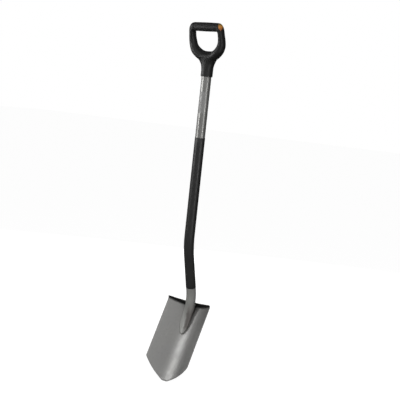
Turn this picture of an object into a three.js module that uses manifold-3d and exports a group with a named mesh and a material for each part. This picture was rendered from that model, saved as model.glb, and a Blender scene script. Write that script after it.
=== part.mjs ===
// Garden spade with a pointed, dished steel blade, a cranked oval tube shaft and a D-handle.
// Millimetres, +Z up along the upper shaft, -Y to the front (the hollow side of the blade), +X to the
// right seen from the front. The origin is the middle of the blade's flat tip.

import * as THREE from "three";
import { mergeVertices } from "three/addons/utils/BufferGeometryUtils.js";
import Module from "manifold-3d";

const wasm = await Module();
wasm.setup();

const { cos, sin, tan, sqrt, min, max, abs, sign, asin, acos, PI } = Math;
const rad = THREE.MathUtils.degToRad;

// ---- Driving dimensions ------------------------------------------------------------------------

const TOTAL_HEIGHT = 1250;
const CLEARANCE = 0.3; // between a piece and the one that it is cut for

const BLADE = {
  width: 182,
  length: 294, // from the tip to the top of the treads
  side: 230, // straight part of each side
  tipWidth: 22,
  edgeBulge: 8, // how far the lower edges stand proud of a straight line
  bulgeNearTip: 0.6, // share of the bulge next to the tip
  bulgeNearSide: 1.4, // and next to the corner with the straight side
  thickness: 2,
  dish: 30, // depth of the hollow across the full width
  lean: rad(26.8), // the tip leans forward of the upper shaft
  foldRadius: 14, // middle radius where the plate turns into the treads
  treadRise: rad(12), // the treads rise towards their front edge
  treadBow: 9.5, // how far the middle of the treads' front edge stands back
  treadEndWidth: 6, // what is left of the treads at the corners
};

const SHAFT = {
  halfWidth: 18,
  halfDepth: 15.5,
  wall: 1.5,
  y: 62, // the upper shaft's axis, behind the tip
  bendHeight: 474, // where the two straight stretches' axes cross
  bendAngle: rad(15.7), // the lower shaft runs down and back
  bendRadius: 290,
  toeRadius: 146, // the curve from the lower shaft on to the blade
  topHeight: 1126,
};

const TOE = {
  axisHeight: 8.9, // of the shaft's axis above the plate, once it lies along the blade
  end: 176, // from the tip, along the blade
  halfWidth: 18,
  endThickness: 5,
  spread: 0.2, // how much thicker the pressed tube gets for each millimetre away from its end
  squareness: 0.75, // exponent of the pressed tube's rounding: 1 is an oval, 0 a box
  endWidthShare: 0.07, // the rounded end stops at this share of the full width
  valley: 4, // the pressed-in middle of the toe
  valleyFloor: 0.4, // its width at the bottom and at the top, as shares of the toe's width
  valleyTop: 0.85,
  pressStart: 290, // along the blade: the tube is a full, hollow oval above this
  pressEnd: 225, // and fully pressed below this
  roundLength: 45, // the rounded end, seen from the front
};

const SLEEVE = { top: 857, length: 156, gap: 0.05, thickness: 0.65 }; // length is below the bend

const HANDLE = {
  collarBottom: 1068,
  collarHalfWidth: 21,
  collarHalfDepth: 20,
  tilt: rad(17.6), // the D leans forward of the upper shaft
  gripHeight: 104, // the grip bar's axis above the knee, along the D
  gripRadius: 15.4, // at the middle of the slightly barrelled grip cover
  gripEndRadius: 14.7,
  coreRadius: 12,
  coreAnchor: 4, // how far the core rod runs on into the arms
  coverLeft: -44,
  coverRight: 50,
};

const LABEL = { top: 1015, bottom: 943, halfAngle: rad(45), thickness: 0.2, gap: 0.08 };

// The coloured drop in the upper right corner of the D, seen along its own direction.
const DROP = {
  x: 58.5,
  lift: 4, // of its middle above the grip bar's axis
  direction: rad(35),
  halfWidth: 9,
  top: 24,
  bottom: -14,
  start: -5, // along its direction
  depth: 24,
};

const SCREW = {
  headRadius: 4.2,
  headHeight: 2.4,
  shankRadius: 2.1,
  holeRadius: 2.2,
  length: 9,
  holeLength: 13.5,
  heights: [1112, 1087],
};

const BEAD = { tread: 1.6, toe: 1.3, gap: 0.3, toeFrom: rad(20), toeTo: rad(160) };

const RING_POINTS = 40; // around the shaft

// ---- Worked-out sizes --------------------------------------------------------------------------

const halfBlade = BLADE.width / 2;
// The plate's middle surface is a cylinder about a line parallel to the blade, in front of it.
const dishRadius = (halfBlade ** 2 + BLADE.dish ** 2) / (2 * BLADE.dish);
const kneeHeight = TOTAL_HEIGHT - HANDLE.gripRadius - HANDLE.gripHeight * cos(HANDLE.tilt);

// ---- Geometry helpers --------------------------------------------------------------------------

// A closed surface through rings of equal length: capped at both ends, or joined last to first.
function loft(rings, { loop = false } = {}) {
  const count = rings[0].length;
  const positions = rings.flat().flatMap((p) => [p.x, p.y, p.z]);
  const index = [];
  const last = loop ? rings.length : rings.length - 1;
  for (let r = 0; r < last; r++) {
    const next = (r + 1) % rings.length;
    for (let i = 0; i < count; i++) {
      const j = (i + 1) % count;
      const [a, b, c, d] = [r * count + i, r * count + j, next * count + j, next * count + i];
      index.push(a, b, c, a, c, d);
    }
  }
  if (!loop) {
    addCap(positions, index, rings[0], 0, true);
    addCap(positions, index, rings.at(-1), (rings.length - 1) * count, false);
  }
  if (signedVolume(positions, index) < 0) index.reverse();
  const geometry = new THREE.BufferGeometry();
  geometry.setAttribute("position", new THREE.Float32BufferAttribute(positions, 3));
  geometry.setIndex(index);
  return geometry;
}

// Six times the volume inside a closed surface: negative if its faces point inwards.
function signedVolume(positions, index) {
  const corner = (i) => new THREE.Vector3().fromArray(positions, 3 * index[i]);
  let total = 0;
  for (let i = 0; i < index.length; i += 3) {
    total += corner(i).cross(corner(i + 1)).dot(corner(i + 2));
  }
  return total;
}

function addCap(positions, index, ring, first, isStart) {
  const centre = new THREE.Vector3();
  ring.forEach((p) => centre.addScaledVector(p, 1 / ring.length));
  const middle = positions.length / 3;
  positions.push(centre.x, centre.y, centre.z);
  for (let i = 0; i < ring.length; i++) {
    const [a, b] = [first + i, first + ((i + 1) % ring.length)];
    index.push(...(isStart ? [b, a, middle] : [a, b, middle]));
  }
}

function toSolid(geometry) {
  const bare = geometry.clone();
  bare.deleteAttribute("normal");
  bare.deleteAttribute("uv");
  const merged = mergeVertices(bare, 1e-3);
  const vertProperties = merged.attributes.position.array;
  const triVerts = new Uint32Array(merged.index.array);
  return new wasm.Manifold(new wasm.Mesh({ numProp: 3, vertProperties, triVerts }));
}

function toGeometry(solid) {
  const mesh = solid.getMesh();
  const geometry = new THREE.BufferGeometry();
  geometry.setAttribute("position", new THREE.BufferAttribute(mesh.vertProperties, 3));
  geometry.setIndex(new THREE.BufferAttribute(mesh.triVerts, 1));
  geometry.computeVertexNormals();
  return geometry;
}

function piece(name, geometry, material) {
  const mesh = new THREE.Mesh(geometry, material);
  mesh.name = name;
  return mesh;
}

const smooth = (t) => t * t * (3 - 2 * t);
const ramp = (value, from, to) => smooth(min(max((value - from) / (to - from), 0), 1));
const evenly = (from, to, steps) =>
  Array.from({ length: steps + 1 }, (_, i) => from + ((to - from) * i) / steps);

// ---- Materials ---------------------------------------------------------------------------------

const paint = (color, roughness, metalness = 0) =>
  new THREE.MeshStandardMaterial({ color, roughness, metalness });
const bladePaint = paint(0x85867f, 0.45, 0.6);
const silverLacquer = paint(0xa0a09d, 0.35, 0.7);
const blackSleeve = paint(0x2b2b2b, 0.6);
const blackPlastic = paint(0x202020, 0.5);
const softGrip = paint(0x262626, 0.75);
const orangePlastic = paint(0xe08a35, 0.4);
const weldSteel = paint(0x5d5f55, 0.5, 0.7);
const zincSteel = paint(0xb0b0ac, 0.3, 0.9);
const labelFilm = paint(0x8c8d8b, 0.6, 0.3);

// ---- Blade -------------------------------------------------------------------------------------
// Drawn in its own frame: Z up along the plate from the tip, Y to the back.

// How far the plate's middle surface stands forward of its lowest line at a distance x.
const plateRise = (x) => dishRadius - sqrt(dishRadius ** 2 - x ** 2);

// Height of the blade's lower outline at a distance x from the middle.
function lowerEdge(x) {
  const tip = BLADE.tipWidth / 2;
  const share = max(abs(x) - tip, 0) / (halfBlade - tip);
  const fullness = THREE.MathUtils.lerp(BLADE.bulgeNearTip, BLADE.bulgeNearSide, share);
  const bulge = 4 * share * (1 - share) * fullness;
  return (BLADE.length - BLADE.side) * share - BLADE.edgeBulge * bulge;
}

// Front edge of the treads, in front of the tip.
function treadEdge(x) {
  return -BLADE.dish - BLADE.treadEndWidth + BLADE.treadBow * (1 - (x / halfBlade) ** 2);
}

// Height of the treads' middle surface, a plane, at a distance y in front of or behind the tip.
function treadHeight(y) {
  const corner = -BLADE.dish - BLADE.treadEndWidth;
  return BLADE.length - BLADE.thickness / 2 - (y - corner) * tan(BLADE.treadRise);
}

// One column of a face of the bent sheet, from the lower edge up the plate, round the fold and
// forward along the tread. Near the corners the sheet ends before the fold is complete.
// offset is the face's distance behind the middle surface.
function bladeColumn(angle, offset) {
  const x = dishRadius * sin(angle);
  const y = -plateRise(x);
  const edge = treadEdge(x);
  const radius = BLADE.foldRadius;
  const fullTurn = PI / 2 - BLADE.treadRise;
  const fullReach = radius * (1 - cos(fullTurn));
  const foldBase = treadHeight(y - fullReach) - radius * sin(fullTurn);
  const hasFlat = y - edge > fullReach;
  const turns = hasFlat ? evenly(0, fullTurn, 6) : evenly(0, acos(1 - (y - edge) / radius), 7);
  const column = [[y, lowerEdge(x), 0]];
  for (const turn of turns) {
    column.push([y - radius * (1 - cos(turn)), foldBase + radius * sin(turn), turn]);
  }
  if (hasFlat) column.push([edge, treadHeight(edge), fullTurn]);
  return column.map(
    ([middleY, z, turn]) =>
      new THREE.Vector3(
        x + offset * sin(angle) * cos(turn),
        middleY + offset * cos(angle) * cos(turn),
        z + offset * sin(turn),
      ),
  );
}

function bladeGeometry() {
  const edge = asin(halfBlade / dishRadius);
  const tip = asin(BLADE.tipWidth / 2 / dishRadius);
  const angles = [
    ...evenly(-edge, -tip, 14),
    ...evenly(-tip, tip, 4).slice(1),
    ...evenly(tip, edge, 14).slice(1),
  ];
  const half = BLADE.thickness / 2;
  const rings = angles.map((angle) => {
    return [...bladeColumn(angle, -half), ...bladeColumn(angle, half).reverse()];
  });
  return toGeometry(toSolid(loft(rings)).subtract(toSolid(treadNotchGeometry())));
}

// The notch that lets the shaft through the treads: the shaft's oval, open to the front.
function treadNotchGeometry() {
  const halfWidth = SHAFT.halfWidth + CLEARANCE;
  const halfDepth = SHAFT.halfDepth + CLEARANCE;
  const length = 40;
  const outline = new THREE.Shape();
  outline.absellipse(0, 0, halfWidth, halfDepth, 0, PI, false);
  outline.lineTo(-halfWidth, -BLADE.dish);
  outline.lineTo(halfWidth, -BLADE.dish);
  return new THREE.ExtrudeGeometry(outline, { depth: length, bevelEnabled: false, curveSegments: 14 })
    .translate(0, 0, -length / 2)
    .rotateX(treadStation.turn - toeTurn)
    .translate(0, treadStation.y, treadStation.z);
}

// ---- Shaft -------------------------------------------------------------------------------------
// Its axis lies in the YZ plane. A station is a point of the axis with the angle by which the axis,
// followed downwards, has turned from straight down towards the back.

const inBladeFrame = ({ y, z }) => ({
  y: y * cos(BLADE.lean) - z * sin(BLADE.lean),
  z: y * sin(BLADE.lean) + z * cos(BLADE.lean),
});
const fromBladeFrame = ({ y, z }) => ({
  y: y * cos(BLADE.lean) + z * sin(BLADE.lean),
  z: z * cos(BLADE.lean) - y * sin(BLADE.lean),
});

const along = (from, turn, distance) => ({
  y: from.y + distance * sin(turn),
  z: from.z - distance * cos(turn),
  turn,
});

// Stations round a corner of the axis, on an arc that touches both straight stretches.
function cornerStations(corner, turnIn, turnOut, radius, steps) {
  const tangent = radius * tan(abs(turnOut - turnIn) / 2);
  const start = along(corner, turnIn, -tangent);
  const side = sign(turnOut - turnIn);
  const centre = { y: start.y + side * radius * cos(turnIn), z: start.z + side * radius * sin(turnIn) };
  return evenly(turnIn, turnOut, steps).map((turn) => ({
    y: centre.y - side * radius * cos(turn),
    z: centre.z - side * radius * sin(turn),
    turn,
  }));
}

const bendCorner = { y: SHAFT.y, z: SHAFT.bendHeight };
const bendInBlade = inBladeFrame(bendCorner);
const toeTurn = -BLADE.lean;
const toeCorner = along(
  bendCorner,
  SHAFT.bendAngle,
  (-TOE.axisHeight - bendInBlade.y) / sin(SHAFT.bendAngle - toeTurn),
);

const at = (z) => ({ y: SHAFT.y, z, turn: 0 });
const bendStations = cornerStations(bendCorner, 0, SHAFT.bendAngle, SHAFT.bendRadius, 8);
const sleeveEnd = along(bendCorner, SHAFT.bendAngle, SLEEVE.length);
const curveStations = cornerStations(toeCorner, SHAFT.bendAngle, toeTurn, SHAFT.toeRadius, 14);

// Stations of the straight end of the toe, closer together towards its rounded end.
function toeStations() {
  const start = inBladeFrame(curveStations.at(-1)).z;
  const roundStart = TOE.end + TOE.roundLength;
  const heights = [
    (start + roundStart) / 2,
    ...evenly(0, PI / 2, 6).map((turn) => TOE.end + TOE.roundLength * (1 - sin(turn))),
  ];
  return heights.map((z) => ({ ...fromBladeFrame({ y: -TOE.axisHeight, z }), turn: toeTurn }));
}

// Where the shaft passes the treads, in the blade's frame.
function stationAtTreads() {
  const level = BLADE.length - BLADE.foldRadius / 2;
  const distance = (station) => abs(inBladeFrame(station).z - level);
  const stations = cornerStations(toeCorner, SHAFT.bendAngle, toeTurn, SHAFT.toeRadius, 100);
  const nearest = stations.reduce((best, station) => (distance(station) < distance(best) ? station : best));
  return { ...inBladeFrame(nearest), turn: nearest.turn };
}
const treadStation = stationAtTreads();

function ringPoint(station, x, out) {
  return new THREE.Vector3(x, station.y + out * cos(station.turn), station.z + out * sin(station.turn));
}

function ovalRing(station, grow) {
  return evenly(0, 2 * PI, RING_POINTS)
    .slice(1)
    .map((t) => ringPoint(station, (SHAFT.halfWidth + grow) * cos(t), (SHAFT.halfDepth + grow) * sin(t)));
}

// The tube's outside: an oval that is pressed step by step into a wedge with a raised rim.
function toeRing(station) {
  const { y: axis, z: height } = inBladeFrame(station);
  const pressed = 1 - ramp(height, TOE.pressEnd, TOE.pressStart);
  const intoEnd = min(max((TOE.end + TOE.roundLength - height) / TOE.roundLength, 0), 1);
  const taper = max(sqrt(1 - intoEnd ** 2), TOE.endWidthShare);
  const halfRim = (TOE.endThickness + TOE.spread * (height - TOE.end)) / 2;
  const valley = TOE.valley * (1 - intoEnd ** 2);
  return evenly(0, 2 * PI, RING_POINTS)
    .slice(1)
    .map((t) => {
      const share = cos(t);
      const flatX = TOE.halfWidth * taper * share;
      const middle = -axis - BLADE.thickness / 2 - halfRim - plateRise(flatX);
      const hollow = sin(t) < 0 ? valley * (1 - ramp(abs(share), TOE.valleyFloor, TOE.valleyTop)) : 0;
      const flatOut = middle + halfRim * sign(sin(t)) * abs(sin(t)) ** TOE.squareness + hollow;
      const x = THREE.MathUtils.lerp(SHAFT.halfWidth * share, flatX, pressed);
      const out = THREE.MathUtils.lerp(SHAFT.halfDepth * sin(t), flatOut, pressed);
      return keepOffPlate(ringPoint(station, x, out));
    });
}

// Moves a point of the tube forward, square to the blade, until it clears the plate's front face.
function keepOffPlate(point) {
  const local = inBladeFrame(point);
  const limit = -plateRise(point.x) - BLADE.thickness / 2 - CLEARANCE;
  if (local.y <= limit) return point;
  const moved = fromBladeFrame({ y: limit, z: local.z });
  return new THREE.Vector3(point.x, moved.y, moved.z);
}

function shaftGeometry() {
  const upper = [at(SHAFT.topHeight), at(SLEEVE.top), ...bendStations];
  const hollow = [...upper, ...curveStations.filter((s) => inBladeFrame(s).z > TOE.pressStart)];
  const bore = hollow.map((station) => ovalRing(station, -SHAFT.wall)).reverse();
  const outside = [
    ...upper.map((station) => ovalRing(station, 0)),
    ...curveStations.map(toeRing),
    ...toeStations().map(toeRing),
  ];
  const tube = toSolid(loft([...bore, ...outside]));
  return toGeometry(screwHoles().reduce((solid, hole) => solid.subtract(hole), tube));
}

// A closed sheet wrapped round the shaft between two faces, at its own stations.
function sleeveGeometry() {
  const stations = [at(SLEEVE.top), ...bendStations, sleeveEnd];
  const inner = stations.map((station) => ovalRing(station, SLEEVE.gap));
  const outer = stations.map((station) => ovalRing(station, SLEEVE.gap + SLEEVE.thickness));
  return loft([...outer, ...inner.reverse()], { loop: true });
}

// A thin film round the front of the upper shaft.
function labelGeometry() {
  const edge = (z, grow, t) =>
    ringPoint(at(z), (SHAFT.halfWidth + grow) * cos(t), (SHAFT.halfDepth + grow) * sin(t));
  const inner = LABEL.gap;
  const outer = LABEL.gap + LABEL.thickness;
  const front = -PI / 2;
  const turns = evenly(front - LABEL.halfAngle, front + LABEL.halfAngle, RING_POINTS / 4);
  const rings = turns.map((t) => [
    edge(LABEL.top, outer, t),
    edge(LABEL.bottom, outer, t),
    edge(LABEL.bottom, inner, t),
    edge(LABEL.top, inner, t),
  ]);
  return loft(rings);
}

// ---- Welds -------------------------------------------------------------------------------------

function bead(points, radius) {
  const outline = new THREE.Shape();
  outline.absarc(0, 0, radius, 0, 2 * PI, false);
  const extrudePath = new THREE.CatmullRomCurve3(points);
  return new THREE.ExtrudeGeometry(outline, { steps: points.length * 2, extrudePath, curveSegments: 4 });
}

// A bead under a tread, along the side of the shaft; side is -1 on the left and 1 on the right.
function treadWeldGeometry(side) {
  const slope = tan(treadStation.turn - toeTurn);
  const away = BEAD.tread + BEAD.gap + CLEARANCE;
  const below = (BLADE.thickness / 2 + BEAD.tread + BEAD.gap) / cos(BLADE.treadRise);
  const drop = treadHeight(0) - below - treadStation.z;
  const points = evenly(rad(-8), rad(20), 4).map((t) => {
    const behind = (SHAFT.halfDepth * sqrt(1 + slope ** 2) + away) * sin(t);
    const y = (treadStation.y + behind - drop * slope) / (1 - slope * tan(BLADE.treadRise));
    return new THREE.Vector3(side * (SHAFT.halfWidth + away) * cos(t), y, treadHeight(y) - below);
  });
  return bead(points, BEAD.tread);
}

// A bead round the rounded end of the toe.
function toeWeldGeometry() {
  const away = BEAD.toe + BEAD.gap;
  const { halfWidth, roundLength, end } = TOE;
  const points = evenly(BEAD.toeFrom, BEAD.toeTo, 20).map((t) => {
    const outward = new THREE.Vector2(roundLength * cos(t), halfWidth * sin(t)).setLength(away);
    const x = halfWidth * cos(t) + outward.x;
    const z = end + roundLength * (1 - sin(t)) - outward.y;
    return new THREE.Vector3(x, -plateRise(x) - BLADE.thickness / 2 - away, z);
  });
  return bead(points, BEAD.toe);
}

// ---- Handle ------------------------------------------------------------------------------------
// Drawn with its origin at the knee, where the shaft's axis meets the D's middle plane.

// The D is swept round its opening. Each section is set by a point of the outer edge, the matching
// point of the inner edge, both (x, z), and its depths to the front and to the back.
const D_SECTIONS = [
  { outer: [0, -14], inner: [0, 20.5], front: 25, back: 14 },
  { outer: [28, -11], inner: [17, 22], front: 25, back: 13 },
  { outer: [49, 3], inner: [30, 29.5], front: 25, back: 9 },
  { outer: [62.7, 17.5], inner: [41, 41], front: 21.8, back: 8.5 },
  { outer: [70.5, 36], inner: [46, 54], front: 16.5, back: 12.5 },
  { outer: [72, 58], inner: [48, 68], front: 15, back: 12.5 },
  { outer: [70, 80], inner: [48.5, 79], front: 15, back: 13 },
  { outer: [67.5, 101], inner: [48, 86], front: 15, back: 14 },
  { outer: [59, 115], inner: [44, 89], front: 15, back: 15 },
  { outer: [44, 119], inner: [38, 89], front: 15, back: 15 },
  { outer: [0, 119], inner: [0, 89], front: 15, back: 15 },
];

function ringGeometry() {
  const other = D_SECTIONS.slice(1, -1).reverse();
  const flip = ({ outer, inner, ...depths }) => ({
    outer: [-outer[0], outer[1]],
    inner: [-inner[0], inner[1]],
    ...depths,
  });
  const sections = [...D_SECTIONS, ...other.map(flip)];
  const curve = (read) =>
    new THREE.CatmullRomCurve3(
      sections.map((section) => new THREE.Vector3(...read(section))),
      true,
      "catmullrom",
    );
  const outer = curve((section) => [section.outer[0], 0, section.outer[1]]);
  const inner = curve((section) => [section.inner[0], 0, section.inner[1]]);
  const depths = curve((section) => [section.front, section.back, 0]);
  const stations = evenly(0, 1, 3 * sections.length).slice(1);
  const rings = stations.map((t) => sectionRing(outer.getPoint(t), inner.getPoint(t), depths.getPoint(t)));
  return loft(rings, { loop: true });
}

// A rounded section between two edge points, reaching depths.x to the front and depths.y to the back.
function sectionRing(outer, inner, depths) {
  const squareness = 0.9; // 1 is an ellipse
  const rounded = (value) => sign(value) * abs(value) ** squareness;
  const middle = outer.clone().add(inner).multiplyScalar(0.5);
  const half = outer.clone().sub(middle);
  return evenly(0, 2 * PI, 28)
    .slice(1)
    .map((t) => {
      const depth = sin(t) < 0 ? depths.x : depths.y;
      return middle.clone().addScaledVector(half, rounded(cos(t))).setY(depth * rounded(sin(t)));
    });
}

// The neck: a stack of ovals from the collar round the shaft up into the foot of the D.
function neckGeometry() {
  const bottom = HANDLE.collarBottom - kneeHeight;
  const { collarHalfWidth: width, collarHalfDepth: depth, tilt } = HANDLE;
  const sections = [
    { height: bottom, width: width - 1, depth: depth - 1, forward: 0, tilt: 0 },
    { height: bottom + 1.5, width, depth, forward: 0, tilt: 0 },
    { height: bottom + 20, width, depth, forward: 0, tilt: 0 },
    { height: bottom + 32, width: width + 1, depth, forward: 1, tilt: 0 },
    { height: -24, width: width + 4.5, depth, forward: 3, tilt: tilt / 4 },
    { height: -13, width: width + 11, depth, forward: 4.5, tilt: tilt / 2 },
    { height: -4, width: width + 18, depth: depth - 1, forward: 6.5, tilt: (3 * tilt) / 4 },
    { height: 6, width: width + 22, depth: depth - 2, forward: 6.5, tilt },
    { height: 12, width: width + 18, depth: depth - 5, forward: 5, tilt },
  ];
  const rings = sections.map((section) =>
    evenly(0, 2 * PI, RING_POINTS)
      .slice(1)
      .map((t) =>
        new THREE.Vector3(
          section.width * cos(t),
          section.depth * sin(t) - section.forward,
          section.height,
        ).applyAxisAngle(new THREE.Vector3(1, 0, 0), section.tilt),
      ),
  );
  return loft(rings);
}

function rodGeometry(radius, from, to) {
  return new THREE.CylinderGeometry(radius, radius, to - from, 32)
    .rotateZ(PI / 2)
    .translate((from + to) / 2, 0, HANDLE.gripHeight);
}

// Room for the grip cover: all of the bar between the cover's ends.
function coverSpaceGeometry() {
  const margin = 1.5; // the bar's section is fuller than the cover's
  return rodGeometry(HANDLE.gripRadius + margin, HANDLE.coverLeft, HANDLE.coverRight);
}

// The coloured corner: a drop with its point down and its upper left side cut away.
function dropGeometry(shrink) {
  const outline = new THREE.Shape();
  const width = DROP.halfWidth - shrink;
  const top = DROP.top - shrink;
  const bottom = DROP.bottom + 2 * shrink;
  outline.moveTo(0, bottom);
  outline.bezierCurveTo(width * 0.5, bottom * 0.7, width, bottom * 0.3, width, top * 0.3);
  outline.bezierCurveTo(width, top * 0.8, width * 0.6, top, width * 0.3, top);
  outline.bezierCurveTo(-width * 0.3, top * 0.8, -width, top * 0.5, -width, 0);
  outline.bezierCurveTo(-width, bottom * 0.4, -width * 0.5, bottom * 0.8, 0, bottom);
  return new THREE.ExtrudeGeometry(outline, { depth: DROP.depth, bevelEnabled: false, curveSegments: 8 })
    .rotateX(PI / 2)
    .translate(0, -DROP.start - shrink, 0)
    .rotateZ(DROP.direction)
    .translate(DROP.x, 0, HANDLE.gripHeight + DROP.lift);
}

function screwGeometry() {
  const { headRadius, headHeight, shankRadius, length } = SCREW;
  const profile = [
    [0, -length],
    [shankRadius * 0.6, -length],
    [shankRadius, -length + 1.5],
    [shankRadius, 0],
    [headRadius, 0],
    [headRadius, headHeight * 0.4],
    [headRadius * 0.8, headHeight * 0.8],
    [headRadius * 0.4, headHeight],
    [0, headHeight],
  ];
  return new THREE.LatheGeometry(profile.map(([x, y]) => new THREE.Vector2(x, y)), 20);
}

// Where a screw's head rests: on the back of the collar.
const screwSeat = (height) => new THREE.Vector3(0, SHAFT.y + HANDLE.collarHalfDepth + CLEARANCE, height);

function screwHoles() {
  const { holeRadius, holeLength } = SCREW;
  return SCREW.heights.map((height) => {
    const { y, z } = screwSeat(height);
    const hole = new THREE.CylinderGeometry(holeRadius, holeRadius, 2 * holeLength, 20);
    return toSolid(hole.translate(0, y, z));
  });
}

const tilted = (geometry) => geometry.rotateX(HANDLE.tilt);
const lifted = (geometry) => geometry.translate(0, SHAFT.y, kneeHeight);

// The core of the grip bar, from arm to arm.
function coreSolid(grow) {
  const { coreRadius, coreAnchor, coverLeft, coverRight } = HANDLE;
  const [from, to] = [coverLeft - coreAnchor, coverRight + coreAnchor + grow];
  return toSolid(tilted(rodGeometry(coreRadius + grow, from, to)));
}

const dropSolid = (shrink) => toSolid(tilted(dropGeometry(shrink))).subtract(coreSolid(shrink));

// The D and its neck, before the cuts for the pieces that it carries.
function handleBlank() {
  return toSolid(tilted(ringGeometry()))
    .add(toSolid(neckGeometry()))
    .subtract(toSolid(tilted(coverSpaceGeometry())))
    .add(coreSolid(0));
}

function handleGeometry(blank) {
  const socket = [at(HANDLE.collarBottom - 10), at(SHAFT.topHeight + 2)]
    .map((station) => ovalRing(station, CLEARANCE))
    .reverse();
  const body = toSolid(lifted(toGeometry(blank.subtract(dropSolid(0)))));
  const hollow = body.subtract(toSolid(loft(socket)));
  return toGeometry(screwHoles().reduce((solid, hole) => solid.subtract(hole), hollow));
}

function inlayGeometry(blank) {
  return lifted(toGeometry(blank.intersect(dropSolid(CLEARANCE))));
}

function gripCoverGeometry() {
  const { gripRadius, gripEndRadius, coreRadius } = HANDLE;
  const bore = coreRadius + CLEARANCE;
  const half = (HANDLE.coverRight - HANDLE.coverLeft) / 2 - CLEARANCE;
  const chamfer = 1;
  const barrel = evenly(-1, 1, 8).map((share) => [
    gripRadius - (gripRadius - gripEndRadius) * share ** 2,
    share * (half - chamfer),
  ]);
  const profile = [
    [bore, -half],
    [gripEndRadius - chamfer, -half],
    ...barrel,
    [gripEndRadius - chamfer, half],
    [bore, half],
    [bore, -half],
  ];
  return new THREE.LatheGeometry(profile.map(([x, y]) => new THREE.Vector2(x, y)), 40).rotateZ(PI / 2);
}

// ---- Assembly ----------------------------------------------------------------------------------

const spade = new THREE.Group();

const bladeFrame = new THREE.Group();
bladeFrame.rotation.x = -BLADE.lean;
bladeFrame.add(
  piece("blade", bladeGeometry(), bladePaint),
  piece("toe_weld", toeWeldGeometry(), weldSteel),
  piece("tread_weld_left", treadWeldGeometry(-1), weldSteel),
  piece("tread_weld_right", treadWeldGeometry(1), weldSteel),
);

const blank = handleBlank();
const gripFrame = new THREE.Group();
gripFrame.position.set(0, SHAFT.y, kneeHeight);
gripFrame.rotation.x = HANDLE.tilt;
const gripCover = piece("grip_cover", gripCoverGeometry(), softGrip);
gripCover.position.set((HANDLE.coverLeft + HANDLE.coverRight) / 2, 0, HANDLE.gripHeight);
gripFrame.add(gripCover);

spade.add(
  bladeFrame,
  piece("shaft_tube", shaftGeometry(), silverLacquer),
  piece("shaft_sleeve", sleeveGeometry(), blackSleeve),
  piece("shaft_label", labelGeometry(), labelFilm),
  piece("handle_body", handleGeometry(blank), blackPlastic),
  piece("corner_inlay", inlayGeometry(blank), orangePlastic),
  gripFrame,
);

["handle_screw_upper", "handle_screw_lower"].forEach((name, i) => {
  const screw = piece(name, screwGeometry(), zincSteel);
  screw.position.copy(screwSeat(SCREW.heights[i]));
  spade.add(screw);
});

export default spade;
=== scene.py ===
"""The looks of a garden spade with a pointed blade, a cranked oval shaft and a D-handle.

The row frame is in metres: +Z up the upper shaft, -Y to the front (the hollow side of the blade), +X to
the right seen from the front. Shapes are worked out in millimetres and turned into metres in build().
"""

import math
from math import acos, asin, cos, pi, radians, sin, sqrt, tan

import bmesh
import bpy
from mathutils import Matrix, Vector


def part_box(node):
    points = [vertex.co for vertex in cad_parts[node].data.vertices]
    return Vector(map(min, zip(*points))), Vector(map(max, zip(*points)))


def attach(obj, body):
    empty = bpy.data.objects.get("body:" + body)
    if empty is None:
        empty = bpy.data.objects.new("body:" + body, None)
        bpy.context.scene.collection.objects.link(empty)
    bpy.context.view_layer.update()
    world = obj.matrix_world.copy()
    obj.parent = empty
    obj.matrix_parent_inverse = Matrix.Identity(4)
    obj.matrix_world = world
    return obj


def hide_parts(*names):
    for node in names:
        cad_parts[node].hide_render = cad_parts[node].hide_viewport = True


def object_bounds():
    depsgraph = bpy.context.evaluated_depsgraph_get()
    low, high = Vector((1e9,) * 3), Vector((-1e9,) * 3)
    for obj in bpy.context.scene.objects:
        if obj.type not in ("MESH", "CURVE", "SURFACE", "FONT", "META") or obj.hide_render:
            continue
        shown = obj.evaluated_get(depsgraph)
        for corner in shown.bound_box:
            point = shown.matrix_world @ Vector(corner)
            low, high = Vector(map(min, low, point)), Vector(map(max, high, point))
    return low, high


MM = 0.001
MERGE_DISTANCE = 1e-6  # in metres: corners nearer to each other than this are the same one

# ---- The frame -------------------------------------------------------------------------------------

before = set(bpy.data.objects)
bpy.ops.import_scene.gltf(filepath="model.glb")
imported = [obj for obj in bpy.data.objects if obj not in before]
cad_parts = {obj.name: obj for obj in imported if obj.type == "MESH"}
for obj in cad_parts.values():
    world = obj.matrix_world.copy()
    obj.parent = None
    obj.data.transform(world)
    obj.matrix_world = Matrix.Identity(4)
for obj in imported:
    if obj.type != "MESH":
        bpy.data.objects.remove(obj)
cad_low, cad_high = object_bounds()


def node_size(node):
    """A CAD node's extents in millimetres."""
    low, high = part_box(node)
    return (high - low) / MM


# ---- Driving dimensions, in millimetres ------------------------------------------------------------

SHEET = 2.0  # the blade's thickness
BLADE_LENGTH = 294.0
BLADE_SIDE = 230.0  # straight part of each side
BLADE_DISH = 30.0  # depth of the hollow
BLADE_LEAN = radians(26.8)
TIP_WIDTH = 22.0
EDGE_BULGE = 8.0  # how far the lower edge bows out between the tip and a side
BULGE_NEAR_TIP = 0.6  # the bulge's factor next to the tip
BULGE_NEAR_SIDE = 1.4  # and next to a side
FOLD_RADIUS = 14.0  # middle radius where the plate turns into the treads
TREAD_RISE = radians(12)
TREAD_BOW = 9.5  # how far the middle of the treads' front edge stands back
TREAD_END = 6.0  # what is left of the treads at the corners
EDGE_ROUND = SHEET / 2

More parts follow.
